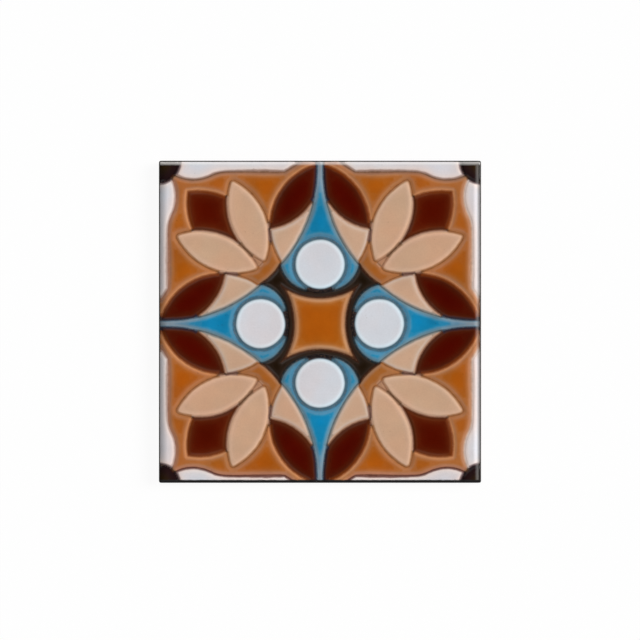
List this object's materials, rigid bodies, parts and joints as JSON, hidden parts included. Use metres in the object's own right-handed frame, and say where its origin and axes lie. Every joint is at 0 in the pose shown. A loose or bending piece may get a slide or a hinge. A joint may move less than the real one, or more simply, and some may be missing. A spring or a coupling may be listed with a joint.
{
  "type": "painted wall tile",
  "caption": "Square glazed ceramic wall tile with a rosette of leaves, petals and discs in raised glaze, parted by thin dark sunk lines.",
  "frame": {"origin": "centre of the tile's back, on the plane of its ribs and border, with the tile lying on its back", "axes": "+Z out of the painted face, +Y towards the top edge of the picture, +X towards its right edge"},
  "size_m": [0.2, 0.2, 0.01],
  "materials": {
    "glaze": "glossy"
  },
  "bodies": {
    "root": {"tile": "glaze"}
  },
  "joints": []
}
